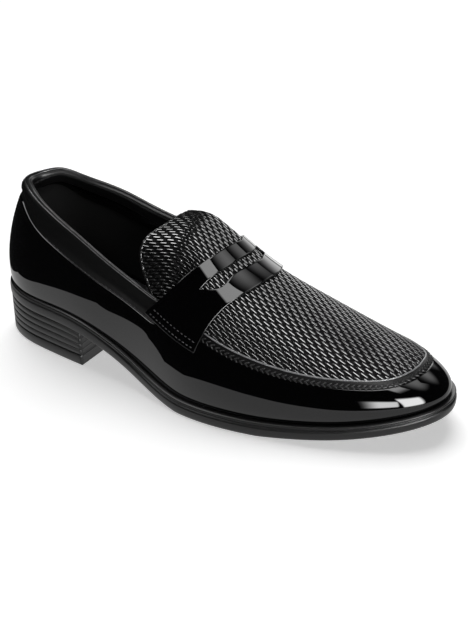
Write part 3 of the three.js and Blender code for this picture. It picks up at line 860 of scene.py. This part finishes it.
# The roll round the heel: degrees from its back, millimetres it stands out and rises over the top edge
ROLL_SHAPE = columns(["turn", "out", "rise"], [
    (-130, 0.0, 1.5),
    (-60, 0.0, 1.2),
    (-36, 0.0, 0.5),
    (-20, 0.6, 1.5),
    (-8, 1.5, 2.5),
    (5, 1.7, 2.6),
    (18, 1.6, 2.0),
    (30, 1.8, 1.3),
    (40, 1.4, 1.6),
    (50, 0.7, 2.2),
    (65, 0.2, 1.7),
    (130, 0.0, 1.7),
])


# How far the band stands out of the upper at the heel's back and along the sides
SWELL_BACK = -0.35
SWELL_SIDE = 0.4


def band_swell(angle):
    station = station_of(angle)
    return mix(SWELL_BACK, SWELL_SIDE, ease(station / 0.2)) * ease((THROAT_BACK - station) / 0.06)


def roll_shape(angle):
    """How far the collar's roll stands out and rises over the top edge, by the angle round the heel."""
    turn = np.degrees(angle) - 180
    return ROLL_SHAPE["out"](turn), ROLL_SHAPE["rise"](turn)


def collar_band():
    """The band's section runs up its outside, over the roll, down its inside and back through the seat."""
    outside = GAP - COLLAR_PADDING
    inside = -COLLAR_PADDING - WALL - GAP
    low = 0.15 - seat(BAND_SPAN)[0]
    swell = band_swell(BAND_SPAN)
    out, rise = roll_shape(BAND_SPAN)
    corners = section(
        BAND_SPAN,
        (low, outside), (low, mix(outside, swell, 0.55)), (low + 0.8, mix(outside, swell, 0.93)),
        (low + 2.2, swell), (low * 0.6, mix(swell + 0.25, out, 0.1)),
        (mix(low, -2.8, 0.75), mix(swell, out, 0.7)), (-2.2, out), (-0.6, out),
        (rise * 0.6, out * 0.8 - 0.25), (rise, out * 0.35 - 0.95), (rise, -2.1), (rise * 0.9, -3.3),
        (rise * 0.3, -4.4), (-1.5, inside - 0.5), (-3, inside - 0.6), (-7, inside - 0.4),
        (-7, inside), (-3, inside), (0.2, inside), (0.3, mix(outside, inside, 0.5)),
        (0.2, outside), (low * 0.5, outside))
    skin = skin_points(BAND_SPAN, rounded(corners, 4, loop=True))
    return keep("collar_band_padded", lofted(skin, caps=True))


FOLD_RADIUS = 0.22
PIPING_RADIUS = 0.26


def topline_piping():
    """Two fine raised lines along the topline, where the collar's edge is folded and stitched."""
    angles = np.linspace(BAND_START + 0.06, 2 * math.pi - BAND_START - 0.06, 321)
    out, rise = roll_shape(angles)
    outer, faces = edge_path(angles, rise * 0.65, out * 0.75 - 0.25)
    inner, inner_faces = edge_path(angles, rise + 0.02, -1.5)
    fold = keep("topline_folded_edge", lofted(tube(outer, faces, FOLD_RADIUS, 6)))
    return fold, keep("topline_piping", lofted(tube(inner, inner_faces, PIPING_RADIUS, 6)))


# Stitches as gap, length, width and height in millimetres; the collar's stop short of the heel's back
COLLAR_STITCH = (3.3, 1.1, 0.6, 0.35)
BACK_CLEAR = 0.85


def collar_stitches():
    """A row of stitches near the band's lower edge, on each side of the shoe."""
    work = bmesh.new()
    for start, end in ((BAND_START + 0.02, math.pi - BACK_CLEAR),
                       (math.pi + BACK_CLEAR, 2 * math.pi - BAND_START - 0.02)):
        angles = np.linspace(start, end, 200)
        path, faces = edge_path(angles, 1.5 - seat(angles)[0], band_swell(angles) + 0.05)
        add_stitches(work, path, faces, *COLLAR_STITCH)
    return keep("collar_stitches", work)


# Apron border: smooth leather outside the plug's bead, with a row of chain stitches on its outer side.
# The places of bead and chain are distances past the upper's top edge. A stroke of the chain has a gap,
# length, width and height; two that slant apart make a stitch.
RIM_END = math.acos(2 * 0.555 - 1)
RIM_SPAN = np.linspace(-RIM_END, RIM_END, 301)
RIM_PATH = np.linspace(-RIM_END, RIM_END, 481)
BEAD_PLACE = 0.35
BEAD_RADIUS = 0.42
CHAIN_PLACE = -3.1
CHAIN_STROKE = (3.1, 3.1, 0.75, 0.5)
CHAIN_SLANT = 0.62


def apron_border():
    corners = section(
        RIM_SPAN, (0.2 - RIM_WIDTH, -0.6), (0.2 - RIM_WIDTH, -0.2), (0.7 - RIM_WIDTH, 0.05), (-2.4, 0.18),
        (-0.9, 0.2), (0.3, 0.1), (0.5, -0.2), (0.3, -0.6), (-2.0, -0.6))
    skin = skin_points(RIM_SPAN, rounded(corners, 3, loop=True))
    return keep("apron_border", lofted(skin, caps=True))


def apron_bead():
    path, faces = edge_path(RIM_PATH, BEAD_PLACE, 0.3)
    return keep("apron_bead", lofted(tube(path, faces, BEAD_RADIUS, 8)))


def chain_stitches():
    work = bmesh.new()
    path, faces = edge_path(RIM_PATH, CHAIN_PLACE, 0.22)
    for slant in (CHAIN_SLANT, -CHAIN_SLANT):
        add_stitches(work, path, faces, *CHAIN_STROKE, slant, sideways=slant)
    return keep("apron_chain_stitches", work)


# Plug and tongue: the mesh's steps in a grain's pitch and in a row, then in millimetres the spare edge
# and half the mesh's width before it is cut
GRAIN_STEPS = 13
ROW_STEPS = 7
SPARE = 3
HALF_WIDTH = 62
# Points from the plug's front to the tongue's free edge on each line, where a line's share is 1. A place
# of the grid has a share of its line, or one of these two where no line reaches it.
LINE_POINTS = 200
NO_LINE = 2.0
PAST_SIDE = 3.0


def plug_lines():
    """Lines along the plug by their way, each run past the tongue's free edge: points and shares."""
    ways = np.concatenate([np.linspace(0, 0.9, 61)[:-1], np.linspace(0.9, 1, 12)])
    shares = np.concatenate([np.linspace(0, 1, LINE_POINTS) ** 1.5, np.linspace(1.01, 1.25, 25)])
    lateral = plug_point(plug_angle(-shares[None], ways[:, None]), ways[:, None] + 0 * shares)
    medial = plug_point(plug_angle(shares[None], ways[:, None]), ways[:, None] + 0 * shares)
    return shares, lateral, medial[::-1]


def run_on(inner, outer):
    """The spot a spare length beyond the outer of two."""
    grow = SPARE / max(np.hypot(*(outer - inner)[:2]), 0.05)
    return outer + (outer - inner) * grow


def plug_slice(line_points):
    """One cut across the plug: distance from the ridge, place and share along the line."""
    known = ~np.isnan(line_points[:, 0])
    near_side = known[:len(known) // 2].sum()
    spots = line_points[known]
    spots = np.concatenate([[run_on(spots[1], spots[0])], spots, [run_on(spots[-2], spots[-1])]])
    run = distances(spots[:, :2])
    middle = (run[near_side] + run[near_side + 1]) / 2
    return run - middle, spots


def plug_grid():
    """The grid in even steps along and across the leather: places, places held at the sides, and shares."""
    shares, lateral, medial = plug_lines()
    ridge = lateral[-1]
    front = lateral[0, 0, 0]
    back = min(lateral[..., :LINE_POINTS, 0].min(), medial[..., :LINE_POINTS, 0].min()) - 1
    xs = np.linspace(back, front, 900)
    height = np.interp(xs, ridge[::-1, 0], ridge[::-1, 2])
    run = distances(np.stack([xs, height], -1))
    stops = np.arange(0, run[-1], GRAIN_PITCH / GRAIN_STEPS)
    slice_x = np.interp(stops, run, xs)
    table = []
    for line in np.concatenate([lateral, medial]):
        x = line[::-1, 0]
        table.append([np.interp(slice_x, x, column[::-1], left=np.nan, right=np.nan)
                      for column in (line[:, 1], line[:, 2], shares)])
    table = np.array(table).transpose(2, 0, 1)
    step = GRAIN_ROW / ROW_STEPS
    reach = math.ceil(HALF_WIDTH / GRAIN_ROW) * ROW_STEPS
    across = np.arange(-reach, reach + 1) * step
    places = np.zeros((len(stops), len(across), 3))
    held = np.zeros_like(places)
    share = np.full((len(stops), len(across)), NO_LINE)
    for i, x in enumerate(slice_x):
        places[i, :, 0] = held[i, :, 0] = x
        if (~np.isnan(table[i, :, 0])).sum() < 4:
            continue
        at, spots = plug_slice(table[i])
        for k in (0, 1):
            places[i, :, k + 1] = np.interp(across, at, spots[:, k])
            held[i, :, k + 1] = np.interp(np.clip(across, at[1], at[-2]), at, spots[:, k])
        share[i] = np.interp(across, at, spots[:, 2])
        share[i][(across < at[1] - step) | (across > at[-2] + step)] = PAST_SIDE
    return stops, across, places, held, share


def grain_height(along, across):
    """Height of the raised grains, 0 between them and 1 on top: slanting, in staggered rows."""
    nearest = np.round(across / GRAIN_ROW)
    height = 0
    for row in (nearest - 1, nearest, nearest + 1):
        u = ((along / GRAIN_PITCH - GRAIN_STAGGER * row + 0.5) % 1 - 0.5) * GRAIN_PITCH
        v = across - GRAIN_ROW * row
        ahead = u * math.cos(GRAIN_TILT) + v * math.sin(GRAIN_TILT)
        aside = v * math.cos(GRAIN_TILT) - u * math.sin(GRAIN_TILT)
        far = (np.abs(ahead * 2 / GRAIN_LENGTH) ** GRAIN_SQUARENESS
               + np.abs(aside * 2 / GRAIN_WIDTH) ** GRAIN_SQUARENESS)
        height = np.maximum(height, np.clip(1 - far, 0, 1) ** GRAIN_DOME)
    return height


def plug():
    """The embossed leather, cut along its free edge; "flat" keeps each vertex's place on the flat leather."""
    stops, across, places, held, share = plug_grid()
    normal = unit(np.cross(np.gradient(places, axis=0), np.gradient(places, axis=1)))
    height = grain_height(stops[:, None], -across[None, :])
    inside = share <= 1
    past_edge = np.zeros_like(inside)
    past_edge[:-1] = ~inside[:-1] & inside[1:] & (share[:-1] < 1.5)
    for i, j in zip(*np.nonzero(past_edge)):
        part = (share[i, j] - 1) / (share[i, j] - share[i + 1, j])
        held[i, j] = mix(held[i, j], held[i + 1, j], part)
    inside |= past_edge
    spots = to_frame(held + normal * ((height - GRAIN_SINK) * GRAIN_HEIGHT)[..., None])
    work, grid_places = grid(*inside.shape, layer="flat")
    outside = []
    flat = work.verts.layers.float_vector["flat"]
    for vert, (i, j) in grid_places.items():
        vert.co = spots[i, j]
        vert[flat] = Vector((stops[i], -across[j], 0))
        if not inside[i, j]:
            outside.append(vert)
    bmesh.ops.delete(work, geom=outside, context="VERTS")
    face_up(work)
    return keep("plug_embossed", work)


# The tongue's turned edge: points up each side and sections of its roll, then in millimetres its radius,
# how far a grain swells it, how deep it lies and the gap under which two points are one
EDGE_POINTS = 120
EDGE_STOPS = 420
EDGE_RADIUS = 0.92
EDGE_SWELL = 0.22
EDGE_DEPTH = 0.75
EDGE_NEAR = 0.05


def tongue_edge():
    """The tongue's free edge, turned under, with the lattice's grains running over it."""
    ways = np.concatenate([np.linspace(0, 1, EDGE_POINTS), np.linspace(1, 0, EDGE_POINTS)[1:]])
    sides = np.where(np.arange(len(ways)) < EDGE_POINTS, -1.0, 1.0)
    angle = plug_angle(sides, ways)
    path = plug_point(angle, ways, np.full(len(ways), -EDGE_DEPTH))
    apart = np.concatenate([[True], np.linalg.norm(np.diff(path, axis=0), axis=1) > EDGE_NEAR])
    path, angle, ways = path[apart], angle[apart], ways[apart]
    run = distances(path)
    stops = np.linspace(0, run[-1], EDGE_STOPS)
    faces = unit(at_stops(stops, run, outwards(angle, ways)))
    grain = EDGE_RADIUS + EDGE_SWELL * np.abs(np.sin(math.pi * stops / (GRAIN_ROW * 1.8)))
    return keep("tongue_turned_edge", lofted(tube(at_stops(stops, run, path), faces, grain, 10)))


def plug_backing():
    """The lining under plug and tongue, down to the leather's full thickness."""
    shares = np.linspace(-1, 1, 121)
    up = np.linspace(0, 1, 25)
    rows = []
    for offset, ways in ((-0.5, up), (-PLUG_THICKNESS, up[::-1])):
        for way in ways[:, None] + 0 * shares:
            rows.append(plug_point(plug_angle(shares, way), way, offset + 0 * shares))
    rows.append(rows[0])
    return keep("plug_lining", lofted(np.stack(rows, 1), caps=True))


# Saddle strap: a band over the instep, with its slot left open between two rows of the grid.
# The counts are the rows of faces behind the slot and in front of it.
REAR_ROWS = 10
FRONT_ROWS = 12
STRAP_EDGE = 0.4


def saddle_strap():
    alongs = np.linspace(-1, 1, 121)
    spots = np.zeros((len(alongs), REAR_ROWS + FRONT_ROWS + 2, 3))
    for k, along in enumerate(alongs):
        reach = SLOT_LATERAL if along < 0 else SLOT_MEDIAL
        at = float(np.clip(along / reach, -1, 1))
        high, low = float(SLOT["upper"](at)), float(SLOT["lower"](at))
        if abs(along) > reach:
            high = low = (high + low) / 2
        across = np.concatenate([np.linspace(0, high, REAR_ROWS + 1), np.linspace(low, 1, FRONT_ROWS + 1)])
        spots[k] = strap_point(np.full(len(across), along), across, np.full(len(across), STRAP_LIFT))
    work, places = grid(*spots.shape[:2])
    slot = [face for face in work.faces
            if {places[v][1] for v in face.verts} == {REAR_ROWS, REAR_ROWS + 1}
            and all(-SLOT_LATERAL - 0.01 < alongs[places[v][0]] < SLOT_MEDIAL + 0.01 for v in face.verts)]
    spots = to_frame(spots)
    for vert, place in places.items():
        vert.co = spots[place]
    bmesh.ops.delete(work, geom=slot, context="FACES_ONLY")
    weld(work)
    face_up(work)
    piece = keep("saddle_strap_patent", work)
    thick = piece.modifiers.new("thickness", "SOLIDIFY")
    thick.thickness = STRAP_THICKNESS * MM
    thick.offset = 1
    thick.use_even_offset = True
    edge = piece.modifiers.new("rolled_edge", "BEVEL")
    edge.width = STRAP_EDGE * MM
    edge.segments = 3
    edge.limit_method = "ANGLE"
    edge.angle_limit = math.radians(40)
    return piece


TAB_STITCH = (2.7, 1.55, 0.7, 0.4)
TAB_ROWS = (0.974, 0.93)


def tab_stitches():
    """Two rows of stitches along the lower edge of each tab."""
    work = bmesh.new()
    across = np.linspace(0.05, 0.95, 60)
    for side in (-1, 1):
        for along in TAB_ROWS:
            alongs = np.full_like(across, side * along)
            path = strap_point(alongs, across, np.full_like(across, STRAP_LIFT + STRAP_THICKNESS + 0.05))
            faces = outwards(angle_at(mix(0.44, 0.56, across), side < 0), 0.24 + 0 * across)
            add_stitches(work, path, faces, *TAB_STITCH)
    return keep("tab_stitches", work)


dress(outsole(), RUBBER, "outsole", "outsole")
dress(heel_block(), HEEL_RUBBER, "heel", "heel")
dress(top_lift(), HEEL_RUBBER, "top_lift", "top_lift")
# The insole's colour is its own dark grey, lightened as painted light
dress(insole(), SOCK_PAINTED_LIGHT, "insole", "insole")
dress(upper_shell(), PATENT, "patent", "upper")
dress(quarter_lining(), LINING, "lining")
dress(collar_band(), COLLAR, "collar", "collar_band")
folded_edge, piping = topline_piping()
# The folded edge and piping are coloured mid grey as a painted highlight
dress(folded_edge, EDGE_PAINTED_HIGHLIGHT, "collar")
dress(piping, EDGE_PAINTED_HIGHLIGHT, "collar")
dress(collar_stitches(), BONDED_THREAD, "collar")
dress(apron_border(), BORDER, "border", "apron_rim")
# The bead's light grey colour is a painted highlight
dress(apron_bead(), BEAD_PAINTED_HIGHLIGHT, "border")
dress(chain_stitches(), THREAD, "border")
dress(plug(), EMBOSSED, "embossed", "plug")
dress(tongue_edge(), TURNED_EDGE, "embossed")
dress(tab_stitches(), BONDED_THREAD, "patent")
dress(plug_backing(), LINING, "lining")
dress(saddle_strap(), PATENT, "patent", "saddle_strap")


# Floor, light and camera
def glow(material, strength):
    shader = material.node_tree.nodes["Principled BSDF"]
    shader.inputs["Emission Color"].default_value = linear("#ffffff")
    shader.inputs["Emission Strength"].default_value = strength
    return material


def only_mirrored(piece):
    """Keeps a lit piece out of every view and shadow, so that the lacquer alone shows it."""
    for rays in ("camera", "diffuse", "shadow", "transmission"):
        setattr(piece, "visible_" + rays, False)


def floor():
    work = bmesh.new()
    bmesh.ops.create_grid(work, x_segments=1, y_segments=1, size=8)
    piece = keep("floor", work, riding=False)
    piece.data.materials.append(glow(finish("white_paper_floor", "#e8e8e8", 0.9, []), 0.5))
    piece.visible_glossy = False


# What the lacquer mirrors of the floor: the lit paper, which ends close to the heel and runs far in front
LIT_PAPER = [
    (-0.23, 3.0), (-0.23, -0.02), (-0.19, -0.067), (-0.134, -0.104), (-0.10, -0.084), (-0.06, -0.073),
    (-0.035, -0.09), (0.02, -0.25), (0.3, -1.6), (0.6, -3.0), (4.0, -3.0), (4.0, 3.0)]
PAPER_DEPTH = 0.0002


def lit_paper():
    work = bmesh.new()
    work.faces.new([work.verts.new((x, y, -PAPER_DEPTH)) for x, y in LIT_PAPER])
    bmesh.ops.triangulate(work, faces=work.faces)
    work.normal_update()
    piece = keep("lit_paper", work, smooth=False, riding=False)
    piece.data.materials.append(glow(finish("lit_white_paper", "#808080", 0.9, []), 0.7))
    only_mirrored(piece)


# Light cards: azimuth and rise they are seen at from the shoe in degrees, distance and size in metres,
# radiance, and how much of the card fades out at its two sides and at its level edges
CARD_AIM = Vector((0.03, -0.01, 0.06))
CARDS = [
    ("overhead_card", (8, 71), 1.28, (0.98, 0.74), 5.4, (0.12, 0.9, 0.4)),
    ("fill_card", (34, 57), 1.2, (0.8, 0.6), 2.4, (0.9, 0.9, 0.9)),
    ("low_fill_card", (62, 40), 1.0, (0.6, 0.5), 2.1, (1.0, 1.0, 1.0)),
    ("back_card", (91, 25), 0.78, (0.56, 0.5), 3.6, (0.8, 0.5, 0.6)),
    ("low_back_card", (106, 2), 0.75, (0.32, 0.26), 3.0, (0.5, 0.5, 0.5)),
    ("left_card", (207, 54), 1.2, (0.9, 0.7), 5.0, (0.3, 0.3, 0.3)),
    ("toe_card_left", (310, 17), 1.1, (0.42, 0.5), 14.0, (0.9, 0.15, 0.4)),
    ("toe_card_right", (336, 19), 1.1, (0.5, 0.8), 19.0, (0.15, 0.4, 0.3)),
]


def card(name, direction, distance, size, radiance, soft):
    """A light card that faces the shoe, its glow kept on its vertices."""
    azimuth, rise = map(math.radians, direction)
    towards = Vector((math.cos(rise) * math.cos(azimuth), math.cos(rise) * math.sin(azimuth), math.sin(rise)))
    turn = towards.to_track_quat("Z", "Y")
    work = bmesh.new()
    bmesh.ops.create_grid(work, x_segments=16, y_segments=16, size=1)
    glowing = work.verts.layers.float.new("glow")
    for vert in work.verts:
        sides = ease((1 + vert.co.x) / soft[0]) * ease((1 - vert.co.x) / soft[1])
        vert[glowing] = float(sides * ease((1 - abs(vert.co.y)) / soft[2]))
        flat = Vector((vert.co.x * size[0] / 2, vert.co.y * size[1] / 2, 0))
        vert.co = CARD_AIM + towards * distance + turn @ flat
    piece = keep(name, work, smooth=False, riding=False)
    material = bpy.data.materials.new(name + "_glow")
    material.use_nodes = True
    tree = material.node_tree
    tree.nodes.remove(tree.nodes["Principled BSDF"])
    share = node(tree, "ShaderNodeAttribute", {"attribute_name": "glow"}).outputs["Fac"]
    strength = node(tree, "ShaderNodeMath", {"operation": "MULTIPLY"}, {1: radiance})
    tree.links.new(share, strength.inputs[0])
    light = node(tree, "ShaderNodeEmission", Strength=strength.outputs[0])
    tree.links.new(light.outputs[0], tree.nodes["Material Output"].inputs["Surface"])
    piece.data.materials.append(material)
    only_mirrored(piece)


floor()
lit_paper()
for settings in CARDS:
    card(*settings)

# An even overcast light for the floor and the soft leathers, which no lacquer mirrors
sun_data = bpy.data.lights.new("overcast", "SUN")
sun_data.energy = 2.5
sun_data.angle = math.radians(50)
sun = bpy.data.objects.new("overcast", sun_data)
sun.rotation_euler = Vector((-0.35, 0.45, 1.0)).to_track_quat("Z", "Y").to_euler()
sun.visible_glossy = False
bpy.context.scene.collection.objects.link(sun)

world = bpy.data.worlds.new("studio")
world.use_nodes = True
world.node_tree.nodes["Background"].inputs["Color"].default_value = (1, 1, 1, 1)
world.node_tree.nodes["Background"].inputs["Strength"].default_value = 0.015
bpy.context.scene.world = world
bpy.context.scene.view_settings.view_transform = "Standard"

# The photograph's height and focal length in pixels, and its camera worked out from the shoe's own sizes
FRAME_HEIGHT = 632
FOCAL_PIXELS = 1032.75
SENSOR_HEIGHT = 36
CAMERA_TURN = math.radians(28.86)
CAMERA_RISE = math.radians(27.0)
CAMERA_DISTANCE = 0.6302
CAMERA_AIM = Vector((0.0065, 0.0213, 0.030))

data = bpy.data.cameras.new("camera")
data.sensor_fit = "VERTICAL"
data.sensor_height = SENSOR_HEIGHT
data.lens = FOCAL_PIXELS / FRAME_HEIGHT * SENSOR_HEIGHT
data.clip_start = 0.01
camera = bpy.data.objects.new("camera", data)
back = Vector((math.sin(CAMERA_TURN) * math.cos(CAMERA_RISE),
               -math.cos(CAMERA_TURN) * math.cos(CAMERA_RISE), math.sin(CAMERA_RISE)))
camera.location = CAMERA_AIM + back * CAMERA_DISTANCE
camera.rotation_euler = back.to_track_quat("Z", "Y").to_euler()
bpy.context.scene.collection.objects.link(camera)
bpy.context.scene.camera = camera
